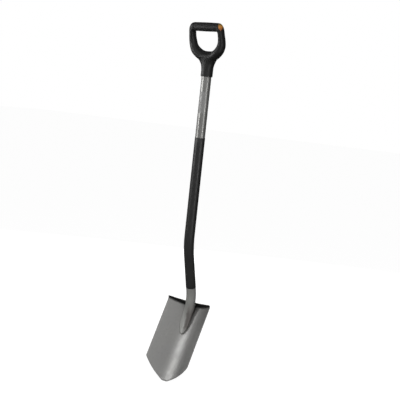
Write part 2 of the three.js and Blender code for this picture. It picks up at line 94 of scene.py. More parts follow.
SHAFT_Y = 62.0  # the upper shaft's axis
BEND_HEIGHT = 474.0  # where the upper and the lower straight stretch would meet
BEND_ANGLE = radians(15.7)
BEND_RADIUS = 290.0
TOE_RADIUS = 146.0  # of the axis where it turns into the toe
TOE_AXIS = 8.9  # how far the toe's axis stands off the plate's middle
TOE_END = 176.0  # up the blade
TOE_HALF_WIDTH = 18.0
TOE_END_THICKNESS = 5.0
TOE_SPREAD = 0.2  # how much thicker the pressed tube gets for each millimetre away from its end
TOE_SQUARENESS = 0.75  # exponent of the pressed tube's rounding: 1 is an oval, 0 a box
TOE_END_WIDTH = 0.07  # the rounded end stops at this share of the full width
TOE_VALLEY = 4.0  # depth of the hollow pressed into the toe's front
TOE_VALLEY_FLOOR = 0.4  # its width at the bottom and at the top, as shares of the toe's width
TOE_VALLEY_TOP = 0.85
PRESS_START = 290.0  # up the blade, where the tube starts to be pressed and where it is fully pressed
PRESS_END = 225.0
TOE_ROUND = 45.0  # length of the toe's rounded end
NOTCH_REACH = 20.0  # how far the notch's cutter reaches above and below the treads
CLEARANCE = 0.3  # between neighbouring pieces
RING_POINTS = 96
BEND_STEPS = 20
TOE_CURVE_STEPS = 60

SLEEVE_LENGTH = 156.0  # below the bend
SLEEVE_GAP = 0.05
SLEEVE_THICKNESS = 0.65
SLEEVE_LIP = 0.5  # length of its rounded ends
SLEEVE_LIP_SHARE = 0.6  # of the thickness that is left at the very end

LABEL_HALF_ANGLE = radians(45)
LABEL_GAP = 0.08
LABEL_THICKNESS = 0.2
LABEL_STEPS = 48

GRIP_END_RADIUS = 14.7
GRIP_BORE = 12.3
GRIP_EDGE = 1.0  # rounding of its ends

SCREW_HEAD_HEIGHT = 2.4
SCREW_HEAD_RIM = 0.8  # straight part of the head's side
SCREW_DOME = radians(85)  # how far round towards its middle the head's dome goes
SCREW_SHANK = 2.1
SCREW_POINT = 1.5
SCREW_POINT_SHARE = 0.6  # of the shank's radius that is left at the point
RECESS_REACH = 2.3
RECESS_HALF_WIDTH = 0.45
RECESS_DEPTH = 1.3
RECESS_START = 1.0  # how far above the head its cutter starts

BEAD_PITCH = 1.7  # from ripple to ripple
BEAD_DIP = 0.25

HALF_BLADE = 91.0
SHAFT_HALF_DEPTH = 15.5
dish_radius = (HALF_BLADE**2 + BLADE_DISH**2) / (2 * BLADE_DISH)
shaft_half_width = node_size("shaft_tube").x / 2
shaft_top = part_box("shaft_tube")[1].z / MM
sleeve_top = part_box("shaft_sleeve")[1].z / MM

# ---- The camera, lights and floor, in metres -------------------------------------------------------

CAMERA_AZIMUTH = radians(34.42)
CAMERA_ELEVATION = radians(5.78)
CAMERA_ROLL = radians(6.12)
CAMERA_DISTANCE = 3.2294
CAMERA_AIM = Vector((0.0199, 0.0736, 0.6419))
CAMERA_LENS = 83.29  # in millimetres, like the sensor
SENSOR = 36.0

FILL_AZIMUTH = radians(25)
FILL_ELEVATION = radians(20)
FILL_SPREAD = (0.25, 0.97)  # of the cosine from the fill's direction
FILL_RADIANCE = (0.09, 0.62)  # at either end of that spread

FLOOR_REACH = 30.0
FLOOR_GAP = 0.0005  # below the tip
FLOOR_BOUNCE = (0.12, 0.12, 0.12)
FLOOR_LIT = (0.35, 0.35, 0.35)
FLOOR_GLOW = 0.9


def direction(azimuth, elevation):
    """The unit vector towards an azimuth and elevation: azimuth 0 is the front, 90 degrees the right."""
    return Vector((sin(azimuth) * cos(elevation), -cos(azimuth) * cos(elevation), sin(elevation)))


def make_camera():
    data = bpy.data.cameras.new("camera")
    data.lens = CAMERA_LENS
    data.sensor_width = SENSOR
    back = direction(CAMERA_AZIMUTH, CAMERA_ELEVATION)
    level = Vector((cos(CAMERA_AZIMUTH), sin(CAMERA_AZIMUTH), 0))
    upward = back.cross(level)
    right = cos(CAMERA_ROLL) * level + sin(CAMERA_ROLL) * upward
    up = cos(CAMERA_ROLL) * upward - sin(CAMERA_ROLL) * level
    camera = bpy.data.objects.new("camera", data)
    turn = Matrix((right, up, back)).transposed().to_4x4()
    camera.matrix_world = Matrix.Translation(CAMERA_AIM + CAMERA_DISTANCE * back) @ turn
    bpy.context.scene.collection.objects.link(camera)
    bpy.context.scene.camera = camera


def make_softbox(
    name, azimuth, distance, low, high, width, radiance, aim=0.7, spread=180, glossy=True
):
    """A softbox between two heights in metres, facing the point at height aim above the origin.

    azimuth and spread are in degrees.
    """
    data = bpy.data.lights.new(name, "AREA")
    data.shape = "RECTANGLE"
    data.size = width
    data.size_y = high - low
    data.spread = radians(spread)
    data.energy = radiance * pi * width * (high - low)
    light = bpy.data.objects.new(name, data)
    light.location = distance * direction(radians(azimuth), 0) + Vector((0, 0, (low + high) / 2))
    light.rotation_mode = "QUATERNION"
    light.rotation_quaternion = (Vector((0, 0, aim)) - light.location).to_track_quat("-Z", "Y")
    light.visible_glossy = glossy
    light.visible_camera = False
    bpy.context.scene.collection.objects.link(light)


def make_lights():
    make_softbox("key", azimuth=-50, distance=1.6, low=0.6, high=1.3, width=0.5, radiance=5.5)
    make_softbox(
        "left", azimuth=-70, distance=1.4, low=1.0, high=1.45, width=0.6, radiance=0.65, aim=1.22, spread=60
    )
    make_softbox("strip", azimuth=60, distance=1.5, low=0.5, high=1.12, width=0.32, radiance=6.5)
    make_softbox("back", azimuth=214, distance=3.0, low=0.1, high=1.7, width=1.4, radiance=4.5)
    make_softbox(
        "fill", azimuth=20, distance=3.0, low=0.4, high=2.4, width=2.4, radiance=1.6, glossy=False
    )


def split_by_ray(tree, lighting, seen, out):
    """Shows the camera one shader, and lights the spade with another."""
    path = tree.nodes.new("ShaderNodeLightPath")
    mix = tree.nodes.new("ShaderNodeMixShader")
    tree.links.new(path.outputs["Is Camera Ray"], mix.inputs["Fac"])
    tree.links.new(lighting.outputs[0], mix.inputs[1])
    tree.links.new(seen.outputs[0], mix.inputs[2])
    tree.links.new(mix.outputs[0], out.inputs["Surface"])


def make_world():
    """White where the camera sees it; what lights the spade is dim, and brighter in front and above."""
    world = bpy.data.worlds.new("studio")
    bpy.context.scene.world = world
    world.use_nodes = True
    nodes, links = world.node_tree.nodes, world.node_tree.links
    nodes.clear()
    seen = nodes.new("ShaderNodeBackground")
    seen.inputs["Color"].default_value = (1, 1, 1, 1)
    ambient = nodes.new("ShaderNodeBackground")
    ambient.inputs["Color"].default_value = (1, 1, 1, 1)
    coordinates = nodes.new("ShaderNodeTexCoord")
    towards = nodes.new("ShaderNodeVectorMath")
    towards.operation = "DOT_PRODUCT"
    towards.inputs[1].default_value = direction(FILL_AZIMUTH, FILL_ELEVATION)
    spread = nodes.new("ShaderNodeMapRange")
    spread.interpolation_type = "SMOOTHSTEP"
    for name, value in zip(("From Min", "From Max", "To Min", "To Max"), FILL_SPREAD + FILL_RADIANCE):
        spread.inputs[name].default_value = value
    links.new(coordinates.outputs["Generated"], towards.inputs[0])
    links.new(towards.outputs["Value"], spread.inputs["Value"])
    links.new(spread.outputs["Result"], ambient.inputs["Strength"])
    split_by_ray(world.node_tree, ambient, seen, nodes.new("ShaderNodeOutputWorld"))


def make_floor():
    """A pale floor: near white to the camera, with the faintest of shadows, and darker to the spade."""
    height = cad_low.z - FLOOR_GAP
    corners = [(-1, -1), (1, -1), (1, 1), (-1, 1)]
    mesh = bpy.data.meshes.new("floor")
    mesh.from_pydata([(FLOOR_REACH * x, FLOOR_REACH * y, height) for x, y in corners], [], [(0, 1, 2, 3)])
    floor = bpy.data.objects.new("floor", mesh)
    bpy.context.scene.collection.objects.link(floor)
    mesh.materials.append(floor_white())


def floor_white():
    material = bpy.data.materials.new("floor_white")
    material.use_nodes = True
    nodes, links = material.node_tree.nodes, material.node_tree.links
    nodes.clear()
    bounce = nodes.new("ShaderNodeBsdfDiffuse")
    bounce.inputs["Color"].default_value = (*FLOOR_BOUNCE, 1)
    lit = nodes.new("ShaderNodeBsdfDiffuse")
    lit.inputs["Color"].default_value = (*FLOOR_LIT, 1)
    glow = nodes.new("ShaderNodeEmission")
    glow.inputs["Strength"].default_value = FLOOR_GLOW
    both = nodes.new("ShaderNodeAddShader")
    links.new(lit.outputs[0], both.inputs[0])
    links.new(glow.outputs[0], both.inputs[1])
    split_by_ray(material.node_tree, bounce, both, nodes.new("ShaderNodeOutputMaterial"))
    return material


# ---- Materials -------------------------------------------------------------------------------------


class Surface:
    """A principled material whose colour, roughness and bump are built up from noise and position."""

    def __init__(self, name, colour, roughness, metallic=0.0):
        self.material = bpy.data.materials.new(name)
        self.material.use_nodes = True
        self.nodes = self.material.node_tree.nodes
        self.links = self.material.node_tree.links
        self.shader = next(n for n in self.nodes if n.type == "BSDF_PRINCIPLED")
        self.shader.inputs["Base Color"].default_value = (*colour, 1)
        self.shader.inputs["Roughness"].default_value = roughness
        self.shader.inputs["Metallic"].default_value = metallic
        self.material.diffuse_color = (*colour, 1)

    def place(self, stretch=(1, 1, 1), turn=(0, 0, 0)):
        """Row-frame coordinates in metres, turned and then stretched along the axes."""
        coordinates = self.nodes.new("ShaderNodeTexCoord")
        mapping = self.nodes.new("ShaderNodeMapping")
        mapping.inputs["Scale"].default_value = stretch
        mapping.inputs["Rotation"].default_value = turn
        self.links.new(coordinates.outputs["Object"], mapping.inputs["Vector"])
        return mapping.outputs["Vector"]

    def noise(self, size_mm, detail=4, stretch=(1, 1, 1), turn=(0, 0, 0)):
        texture = self.nodes.new("ShaderNodeTexNoise")
        texture.inputs["Scale"].default_value = 1 / (size_mm * MM)
        texture.inputs["Detail"].default_value = detail
        self.links.new(self.place(stretch, turn), texture.inputs["Vector"])
        return texture.outputs["Fac"]

    def range(self, value, low, high, to_low=0.0, to_high=1.0):
        """value, with its stretch from low to high mapped to to_low to to_high and clamped there."""
        node = self.nodes.new("ShaderNodeMapRange")
        for name, number in zip(("From Min", "From Max", "To Min", "To Max"), (low, high, to_low, to_high)):
            node.inputs[name].default_value = number
        self.links.new(value, node.inputs["Value"])
        return node.outputs["Result"]

    def math(self, operation, a, b):
        node = self.nodes.new("ShaderNodeMath")
        node.operation = operation
        self.links.new(a, node.inputs[0])
        self.links.new(b, node.inputs[1])
        return node.outputs[0]

    def tint(self, factor, colour):
        """Mixes a colour over what the base colour is now, by factor."""
        base = self.shader.inputs["Base Color"]
        mix = self.nodes.new("ShaderNodeMix")
        mix.data_type = "RGBA"
        if base.is_linked:
            self.links.new(base.links[0].from_socket, mix.inputs[6])
        else:
            mix.inputs[6].default_value = base.default_value
        mix.inputs[7].default_value = (*colour, 1)
        self.links.new(factor, mix.inputs[0])
        self.links.new(mix.outputs[2], base)

    def link(self, name, value):
        self.links.new(value, self.shader.inputs[name])

    def rough(self, value):
        self.link("Roughness", value)

    def bump(self, value, depth_mm, strength=1.0):
        node = self.nodes.new("ShaderNodeBump")
        node.inputs["Distance"].default_value = depth_mm * MM
        node.inputs["Strength"].default_value = strength
        self.links.new(value, node.inputs["Height"])
        normal = self.shader.inputs["Normal"]
        if normal.is_linked:
            self.links.new(normal.links[0].from_socket, node.inputs["Normal"])
        self.links.new(node.outputs["Normal"], normal)

    def corner_shade(self, reach_mm):
        """1 deep in a corner between pieces, where shade falls, and 0 in the open: the mask for painted
        shade.
        """
        occlusion = self.nodes.new("ShaderNodeAmbientOcclusion")
        occlusion.samples = 8
        occlusion.inputs["Distance"].default_value = reach_mm * MM
        return self.range(occlusion.outputs["AO"], 0.75, 0.3)

    def under_treads(self):
        """1 where a surface faces down and forward, as the undersides of the treads do: where painted shade
        goes.
        """
        geometry = self.nodes.new("ShaderNodeNewGeometry")
        split = self.nodes.new("ShaderNodeSeparateXYZ")
        self.links.new(geometry.outputs["Normal"], split.inputs[0])
        downward = self.range(split.outputs["Z"], 0.3, -0.25)
        forward = self.range(split.outputs["Y"], 0, -0.3)
        return self.math("MULTIPLY", downward, forward)

    def toe_right_shade(self):
        """How much painted shade, in brown, darkens a point of the toe: its right half, with a ragged edge.
        """
        split = self.nodes.new("ShaderNodeSeparateXYZ")
        self.links.new(self.place(), split.inputs[0])
        shift = self.range(self.noise(14), 0.3, 0.7, -2 * MM, 2 * MM)
        across = self.range(self.math("ADD", split.outputs["X"], shift), -3 * MM, 4 * MM)
        along = self.math("MULTIPLY", self.height_share(162, 185), self.height_share(280, 230))
        return self.range(self.math("MULTIPLY", across, along), 0, 1, 0, 0.75)

    def share_along(self, axis, zero_mm, one_mm):
        """0 where one of the row frame's coordinates is zero_mm, and 1 where it is one_mm."""
        split = self.nodes.new("ShaderNodeSeparateXYZ")
        self.links.new(self.place(), split.inputs[0])
        return self.range(split.outputs[axis], zero_mm * MM, one_mm * MM)

    def height_share(self, zero_mm, one_mm):
        return self.share_along("Z", zero_mm, one_mm)


def blade_paint():
    """Satin grey metallic paint, mottled, scuffed along the plate, worn at the tip, with painted shade in
    its corners and under the treads.
    """
    s = Surface("blade_paint", (0.3, 0.298, 0.293), roughness=0.34, metallic=0.45)
    s.tint(s.range(s.noise(70, 3), 0.35, 0.7, 0, 0.35), (0.33, 0.326, 0.305))
    s.tint(s.range(s.noise(9, 6), 0.5, 0.8, 0, 0.3), (0.22, 0.22, 0.21))
    scuffs = s.noise(3.2, 5, stretch=(1, 0.07, 0.07), turn=(BLADE_LEAN, 0, 0))
    s.tint(s.range(scuffs, 0.66, 0.78, 0, 0.4), (0.5, 0.5, 0.49))
    s.tint(s.range(s.height_share(70, 0), 0.2, 1, 0, 0.25), (0.42, 0.42, 0.41))
    s.rough(s.range(s.noise(22, 6), 0.3, 0.75, 0.3, 0.42))
    # Painted shade: darker in the corners beside the tube below the treads, where shadow falls.
    s.tint(s.math("MULTIPLY", s.corner_shade(28), s.height_share(200, 235)), (0.06, 0.058, 0.053))
    # Painted shade: the treads' undersides darkened nearly to black.
    s.tint(s.math("MULTIPLY", s.under_treads(), s.height_share(236, 246)), (0.016, 0.016, 0.015))
    s.bump(s.noise(1.1, 3), 0.03, 0.5)
    s.bump(scuffs, 0.05, 0.35)
    return s.material


def silver_lacquer():
    """Satin silver lacquer with faint drawing lines; the lower tube is duller and tinted lighter in the
    blade's grey, and the toe's right half has painted shade.
    """
    s = Surface("silver_lacquer", (0.285, 0.284, 0.274), roughness=0.34, metallic=0.6)
    lines = s.noise(1.6, 4, stretch=(1, 1, 0.02))
    s.tint(s.range(lines, 0.4, 0.75, 0, 0.3), (0.24, 0.24, 0.235))
    s.tint(s.range(s.noise(14, 5), 0.55, 0.8, 0, 0.3), (0.23, 0.23, 0.22))
    s.link("Metallic", s.range(s.height_share(400, 340), 0, 1, 0.6, 0.1))
    # The lower tube in the blade's greenish grey, also painted lighter to stand in for light from below.
    s.tint(s.height_share(400, 340), (0.335, 0.337, 0.32))
    # Painted shade, brownish, on the toe's right half, which faces away from the light.
    toe_shade = s.toe_right_shade()
    s.tint(toe_shade, (0.085, 0.07, 0.066))
    s.rough(s.math("ADD", s.range(s.noise(12, 5), 0.3, 0.75, 0.3, 0.42), s.range(toe_shade, 0, 1, 0, 0.3)))
    s.bump(lines, 0.012, 0.3)
    return s.material


def black_sleeve():
    """Dark plastic coating with an orange-peel skin, painted a little lighter low down to stand in for
    light from below.
    """
    s = Surface("black_sleeve", (0.019, 0.019, 0.019), roughness=0.42)
    # Painted light: lighter low down, where the down-facing sleeve would catch light from below.
    s.tint(s.height_share(600, 420), (0.03, 0.03, 0.0295))
    s.tint(s.range(s.noise(30, 4), 0.45, 0.75, 0, 0.4), (0.03, 0.03, 0.029))
    s.tint(s.range(s.noise(2.2, 5, stretch=(1, 1, 0.08)), 0.68, 0.8, 0, 0.3), (0.08, 0.08, 0.08))
    s.rough(s.range(s.noise(16, 5), 0.3, 0.75, 0.36, 0.5))
    s.bump(s.noise(1.3, 3), 0.06, 0.5)
    return s.material


def black_plastic():
    """Fine-grained moulded plastic, a little polished by hands."""
    s = Surface("black_plastic", (0.011, 0.011, 0.011), roughness=0.5)
    s.tint(s.range(s.noise(26, 4), 0.45, 0.75, 0, 0.5), (0.016, 0.016, 0.0156))
    s.rough(s.range(s.noise(18, 5), 0.3, 0.75, 0.45, 0.57))
    s.bump(s.noise(0.9, 2), 0.008, 0.3)
    return s.material


def soft_grip():
    """Soft-touch rubber with a pebbled grain."""
    s = Surface("soft_grip", (0.012, 0.012, 0.012), roughness=0.6)
    s.tint(s.range(s.noise(12, 4), 0.45, 0.75, 0, 0.5), (0.019, 0.019, 0.019))
    s.rough(s.range(s.noise(8, 4), 0.3, 0.75, 0.5, 0.62))
    s.bump(s.noise(0.8, 2), 0.012, 0.4)
    return s.material


def orange_plastic():
    """Satin orange plastic with painted shading: dark red towards its point, olive at the top and painted
    shade on its left side.
    """
    low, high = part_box("corner_inlay")
    bottom, top, left = low.z / MM, high.z / MM, low.x / MM
    width = high.x / MM - left
    s = Surface("orange_plastic", (0.85, 0.33, 0.06), roughness=0.35)
    # Painted shade: darker red low on the drop, towards its point.
    s.tint(s.range(s.height_share(bottom + 16, bottom + 3), 0, 1, 0, 0.9), (0.16, 0.04, 0.015))
    # Painted shading: the top tinted olive, as the light falls there.
    s.tint(s.range(s.height_share(top - 14, top - 4), 0, 1, 0, 0.85), (0.26, 0.2, 0.045))
    # Painted shade on the drop's left side.
    left_shade = s.share_along("X", left + 0.6 * width, left + 0.25 * width)
    s.tint(s.range(left_shade, 0, 1, 0, 0.8), (0.04, 0.036, 0.01))
    s.tint(s.range(s.noise(5, 4), 0.5, 0.8, 0, 0.25), (0.6, 0.22, 0.05))
    s.bump(s.noise(0.7, 2), 0.03, 0.5)
    return s.material


def weld_bead_metal():
    """Weld under paint, uneven and sooty in patches."""
    s = Surface("weld_bead", (0.25, 0.25, 0.235), roughness=0.42, metallic=0.4)
    s.tint(s.range(s.noise(2.5, 5), 0.45, 0.7, 0, 0.7), (0.07, 0.07, 0.06))
    s.rough(s.range(s.noise(1.5, 4), 0.3, 0.7, 0.35, 0.6))
    s.bump(s.noise(0.8, 4), 0.15, 0.7)
    return s.material


def screw_steel():
    """Bright zinc plate, dull in patches."""
    s = Surface("screw_steel", (0.5, 0.5, 0.49), roughness=0.28, metallic=1.0)
    s.tint(s.range(s.noise(1.5, 5), 0.5, 0.75, 0, 0.5), (0.33, 0.33, 0.3))
    s.rough(s.range(s.noise(0.8, 4), 0.3, 0.7, 0.22, 0.4))
    return s.material


def label_film():
    """Plain matt film, slightly greyer than the lacquer."""
    s = Surface("label_film", (0.3, 0.3, 0.295), roughness=0.5, metallic=0.35)
    s.tint(s.range(s.noise(9, 5), 0.5, 0.8, 0, 0.4), (0.24, 0.24, 0.235))
    s.rough(s.range(s.noise(6, 4), 0.3, 0.7, 0.42, 0.58))
    s.bump(s.noise(3, 3), 0.03, 0.4)
    return s.material


# ---- Mesh helpers ----------------------------------------------------------------------------------


def evenly(start, end, steps):
    """The ends of steps equal steps from start to end."""
    return [start + (end - start) * i / steps for i in range(steps + 1)]


def ramp(value, start, end):
    """A smooth rise from 0 at start to 1 at end."""
    t = min(max((value - start) / (end - start), 0), 1)
    return t * t * (3 - 2 * t)


def link(name, mesh):
    obj = bpy.data.objects.new(name, mesh)
    bpy.context.scene.collection.objects.link(obj)
    return obj


def build(name, points, faces):
    """A mesh object from points in millimetres, with its faces turned outwards."""
    mesh = bpy.data.meshes.new(name)
    mesh.from_pydata([p * MM for p in points], [], faces)
    bm = bmesh.new()
    bm.from_mesh(mesh)
    bmesh.ops.recalc_face_normals(bm, faces=bm.faces)
    bm.to_mesh(mesh)
    bm.free()
    return link(name, mesh)


def band(first, second, count, closed=True):
    """Quads between two rows of count points."""
    steps = count if closed else count - 1
    return [
        (first + i, first + (i + 1) % count, second + (i + 1) % count, second + i) for i in range(steps)
    ]


def loft(name, rings, loop=False):
    """A closed piece through rings of equal length, capped, or joined last to first."""
    count = len(rings[0])
    faces = []
    for r in range(len(rings) - 1):
        faces += band(r * count, (r + 1) * count, count)
    if loop:
        faces += band((len(rings) - 1) * count, 0, count)
    else:
        last = (len(rings) - 1) * count
        faces += [tuple(range(count)), tuple(range(last, last + count))]
    return build(name, [p for ring in rings for p in ring], faces)


def sheet(name, front, back):
    """A closed sheet between two grids of points of the same shape."""
    rows, columns = len(front), len(front[0])
    total = rows * columns
    faces = []
    for r in range(rows - 1):
        faces += band(r * columns, (r + 1) * columns, columns, closed=False)
        faces += band(total + r * columns, total + (r + 1) * columns, columns, closed=False)
    for first in (0, (rows - 1) * columns):
        faces += band(first, total + first, columns, closed=False)
    for column in (0, columns - 1):
        side = [r * columns + column for r in range(rows)]
        faces += [(a, b, total + b, total + a) for a, b in zip(side, side[1:])]
    return build(name, [p for grid in (front, back) for row in grid for p in row], faces)


def evaluated(obj):
    """Bakes obj's modifiers into its mesh."""
    depsgraph = bpy.context.evaluated_depsgraph_get()
    mesh = bpy.data.meshes.new_from_object(obj.evaluated_get(depsgraph))
    obj.modifiers.clear()
    obj.data = mesh
    return obj


def cut(obj, tool):
    modifier = obj.modifiers.new("cut", "BOOLEAN")
    modifier.operation = "DIFFERENCE"
    modifier.solver = "EXACT"
    modifier.object = tool
    evaluated(obj)
    bpy.data.objects.remove(tool)
    return obj


def finish_piece(obj, material, slot, *nodes, sharp=radians(38)):
    """Smooth shading, one material, and obj's place in the frame."""
    mesh = obj.data
    mesh.materials.clear()
    mesh.materials.append(material)
    mesh.shade_smooth()
    mesh.set_sharp_from_angle(angle=sharp)
    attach(obj, "root")
    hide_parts(*nodes)


# ---- The blade's frame -----------------------------------------------------------------------------
# Its own Z runs up along the plate from the tip, and its Y to the back.

TO_ROW = Matrix.Rotation(-BLADE_LEAN, 3, "X")


def in_blade(y, z):
    """The blade frame's Y and Z of a point of the row frame."""
    return y * cos(BLADE_LEAN) - z * sin(BLADE_LEAN), y * sin(BLADE_LEAN) + z * cos(BLADE_LEAN)


def plate_rise(x):
    """How far the plate's middle surface stands forward of its lowest line."""
    return dish_radius - sqrt(dish_radius**2 - x**2)


def lower_edge(x):
    """The height of the blade's lower edge: flat at the tip, then slanting up with a slight bulge."""
    tip = TIP_WIDTH / 2
    share = max(abs(x) - tip, 0) / (HALF_BLADE - tip)
    bulge = 4 * share * (1 - share) * (BULGE_NEAR_TIP + (BULGE_NEAR_SIDE - BULGE_NEAR_TIP) * share)
    return (BLADE_LENGTH - BLADE_SIDE) * share - EDGE_BULGE * bulge


def tread_edge(x):
    """The place of the treads' front edge: furthest forward at the corners."""
    return -BLADE_DISH - TREAD_END + TREAD_BOW * (1 - (x / HALF_BLADE) ** 2)


def tread_height(y):
    """The height of the treads' middle surface, which rises to the front."""
    return BLADE_LENGTH - SHEET / 2 - (y + BLADE_DISH + TREAD_END) * tan(TREAD_RISE)


# Distances from an edge of the sheet at which rows of points round it off.
EDGE_STEPS = [0, 0.12, 0.4, 1.0]
EDGE_REST = 0.3  # share of the thickness that is left at the very edge
PLATE_ROWS = 44
TREAD_ROWS = 20
PLATE_COLUMNS = 110


def edge_thickness(distance):
    """The share of the sheet's thickness that is left at a distance from its edge."""
    inward = min(distance / EDGE_ROUND, 1)
    return max(sqrt(1 - (1 - inward) ** 2), EDGE_REST)


def column_rows(plate, total):
    """Lengths along a column from the lower edge, with their distances from its nearer end."""
    rows = list(EDGE_STEPS)
    rows += evenly(EDGE_STEPS[-1], plate, PLATE_ROWS)[1:]
    rows += evenly(plate, total - EDGE_STEPS[-1], TREAD_ROWS)[1:]
    rows += [total - step for step in reversed(EDGE_STEPS[:-1])]
    return [(row, min(row, total - row)) for row in rows]


def blade_column(angle, side_distance):
    """The front and back points of one column: up the plate, round the fold and along the tread.

    Near the corners the sheet ends before the fold is complete.
    """
    x = dish_radius * sin(angle)
    y = -plate_rise(x)
    reach = y - tread_edge(x)
    full_turn = pi / 2 - TREAD_RISE
    full_reach = FOLD_RADIUS * (1 - cos(full_turn))
    turn = full_turn if reach > full_reach else acos(1 - reach / FOLD_RADIUS)
    flat = max(reach - full_reach, 0) / sin(full_turn)
    fold_base = tread_height(y - full_reach) - FOLD_RADIUS * sin(full_turn)
    bottom = lower_edge(x)
    plate, arc = fold_base - bottom, FOLD_RADIUS * turn
    front, back = [], []
    for row, end_distance in column_rows(plate, plate + arc + flat):
        turned = min(max(row - plate, 0) / FOLD_RADIUS, turn)
        beyond = max(row - plate - arc, 0)
        middle_y = y - FOLD_RADIUS * (1 - cos(turned)) - beyond * sin(turn)
        middle_z = bottom + min(row, plate) + FOLD_RADIUS * sin(turned) + beyond * cos(turn)
        offset = SHEET / 2 * edge_thickness(min(end_distance, side_distance))
        across = Vector((sin(angle) * cos(turned), cos(angle) * cos(turned), sin(turned)))
        middle = Vector((x, middle_y, middle_z))
        front.append(TO_ROW @ (middle - offset * across))
        back.append(TO_ROW @ (middle + offset * across))
    return front, back


def make_blade():
    edge = asin(HALF_BLADE / dish_radius)
    inner = edge - EDGE_STEPS[-1] / dish_radius
    side = [edge - step / dish_radius for step in EDGE_STEPS]
    angles = [-a for a in side] + evenly(-inner, inner, PLATE_COLUMNS)[1:-1] + list(reversed(side))
    columns = [blade_column(angle, dish_radius * (edge - abs(angle))) for angle in angles]
    blade = sheet("blade_sheet", [c[0] for c in columns], [c[1] for c in columns])
    cut(blade, tread_notch())
    finish_piece(blade, blade_paint(), "blade_paint", "blade", sharp=radians(50))


def tread_notch():
    """The shaft's way through the treads: its oval, open to the front."""
    half_width, half_depth = shaft_half_width + CLEARANCE, SHAFT_HALF_DEPTH + CLEARANCE
    outline = [(half_width * cos(t), half_depth * sin(t)) for t in evenly(0, pi, 40)]
    outline += [(-half_width, -BLADE_DISH), (half_width, -BLADE_DISH)]
    turn = Matrix.Rotation(TREAD_STATION.turn - TOE_TURN, 3, "X")
    centre = Vector((0, TREAD_STATION.y, TREAD_STATION.z))
    ends = (-NOTCH_REACH, NOTCH_REACH)
    rings = [[TO_ROW @ (centre + turn @ Vector((x, y, z))) for x, y in outline] for z in ends]
    return loft("notch", rings)


# ---- The shaft -------------------------------------------------------------------------------------
# A station is a point of the shaft's axis, and how far the axis, followed down, has turned backwards.


class Station:
    def __init__(self, y, z, turn):
        self.y, self.z, self.turn = y, z, turn

    def onward(self, distance):
        return Station(self.y + distance * sin(self.turn), self.z - distance * cos(self.turn), self.turn)

    def point(self, x, out):
        return Vector((x, self.y + out * cos(self.turn), self.z + out * sin(self.turn)))

    def height_on_blade(self):
        return in_blade(self.y, self.z)[1]


def corner_stations(corner, turn_out, radius, steps):
    """Stations on an arc that touches both straight stretches that meet at a corner."""
    side = 1 if turn_out > corner.turn else -1
    start = corner.onward(-radius * tan(abs(turn_out - corner.turn) / 2))
    centre_y = start.y + side * radius * cos(corner.turn)
    centre_z = start.z + side * radius * sin(corner.turn)
    return [
        Station(centre_y - side * radius * cos(turn), centre_z - side * radius * sin(turn), turn)
        for turn in evenly(corner.turn, turn_out, steps)
    ]


TOE_TURN = -BLADE_LEAN
bend_corner = Station(SHAFT_Y, BEND_HEIGHT, 0)
lower_start = Station(SHAFT_Y, BEND_HEIGHT, BEND_ANGLE)
toe_corner = lower_start.onward(
    (-TOE_AXIS - in_blade(SHAFT_Y, BEND_HEIGHT)[0]) / sin(BEND_ANGLE - TOE_TURN)
)
bend_stations = corner_stations(bend_corner, BEND_ANGLE, BEND_RADIUS, BEND_STEPS)
curve_stations = corner_stations(toe_corner, TOE_TURN, TOE_RADIUS, TOE_CURVE_STEPS)
sleeve_end = lower_start.onward(SLEEVE_LENGTH)


def station_at_treads():
    """The shaft's station where it passes the treads, in the blade's frame."""
    level = BLADE_LENGTH - FOLD_RADIUS / 2
    nearest = min(curve_stations, key=lambda s: abs(s.height_on_blade() - level))
    return Station(*in_blade(nearest.y, nearest.z), nearest.turn)


TREAD_STATION = station_at_treads()


def toe_stations():
    """The toe's straight end, closer together towards its rounded tip."""
    start = curve_stations[-1].height_on_blade()
    heights = evenly(start, TOE_END + TOE_ROUND, 8)[1:]
    heights += [TOE_END + TOE_ROUND * (1 - sin(t)) for t in evenly(0, pi / 2, 14)[1:]]
    rows = [TO_ROW @ Vector((0, -TOE_AXIS, z)) for z in heights]
    return [Station(p.y, p.z, TOE_TURN) for p in rows]


def oval_point(station, grow, t):
    """A point of the shaft's surface, or of one that stands outside it by grow."""
    return station.point((shaft_half_width + grow) * cos(t), (SHAFT_HALF_DEPTH + grow) * sin(t))


def oval_ring(station, grow):
    return [oval_point(station, grow, t) for t in evenly(0, 2 * pi, RING_POINTS)[1:]]


def keep_off_plate(point):
    """Moves a point of the tube forward, square to the blade, until it clears the plate."""
    y, z = in_blade(point.y, point.z)
    limit = -plate_rise(point.x) - SHEET / 2 - CLEARANCE
    return TO_ROW @ Vector((point.x, min(y, limit), z))


def toe_ring(station):
    """The tube's outside, pressed step by step from an oval into a wedge with a raised rim."""
    axis, height = in_blade(station.y, station.z)
    pressed = 1 - ramp(height, PRESS_END, PRESS_START)
    into_end = min(max((TOE_END + TOE_ROUND - height) / TOE_ROUND, 0), 1)
    taper = max(sqrt(1 - into_end**2), TOE_END_WIDTH)
    half_rim = (TOE_END_THICKNESS + TOE_SPREAD * (height - TOE_END)) / 2
    valley = TOE_VALLEY * (1 - into_end**2)
    ring = []
    for t in evenly(0, 2 * pi, RING_POINTS)[1:]:
        share = cos(t)
        flat_x = TOE_HALF_WIDTH * taper * share
        middle = -axis - SHEET / 2 - half_rim - plate_rise(flat_x)
        hollow = valley * (1 - ramp(abs(share), TOE_VALLEY_FLOOR, TOE_VALLEY_TOP)) if sin(t) < 0 else 0
        edge = math.copysign(abs(sin(t)) ** TOE_SQUARENESS, sin(t))
        flat_out = middle + half_rim * edge + hollow
        x = shaft_half_width * share * (1 - pressed) + flat_x * pressed
        out = SHAFT_HALF_DEPTH * sin(t) * (1 - pressed) + flat_out * pressed
        ring.append(keep_off_plate(station.point(x, out)))
    return ring


